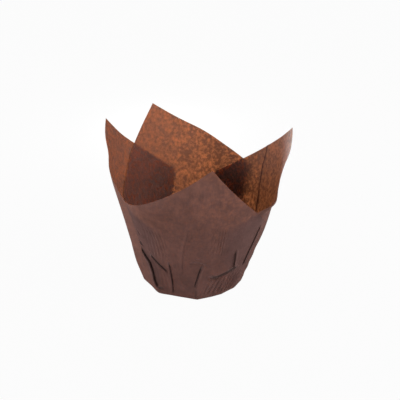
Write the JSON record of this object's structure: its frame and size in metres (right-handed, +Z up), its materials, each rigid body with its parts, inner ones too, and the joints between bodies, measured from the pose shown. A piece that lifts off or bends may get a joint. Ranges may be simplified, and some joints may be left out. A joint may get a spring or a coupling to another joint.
{
  "type": "cupcake liner",
  "caption": "Tulip-shaped baking paper liner with a round flat base, a flared pleated wall and pointed petals standing round its rim.",
  "frame": {"origin": "middle of the round base's underside", "axes": "+Z up out of the open mouth, -Y towards the front petal"},
  "size_m": [0.0927, 0.0912, 0.0782],
  "materials": {
    "baking_paper": "matte"
  },
  "bodies": {
    "root": {"liner": "baking_paper"}
  },
  "joints": []
}
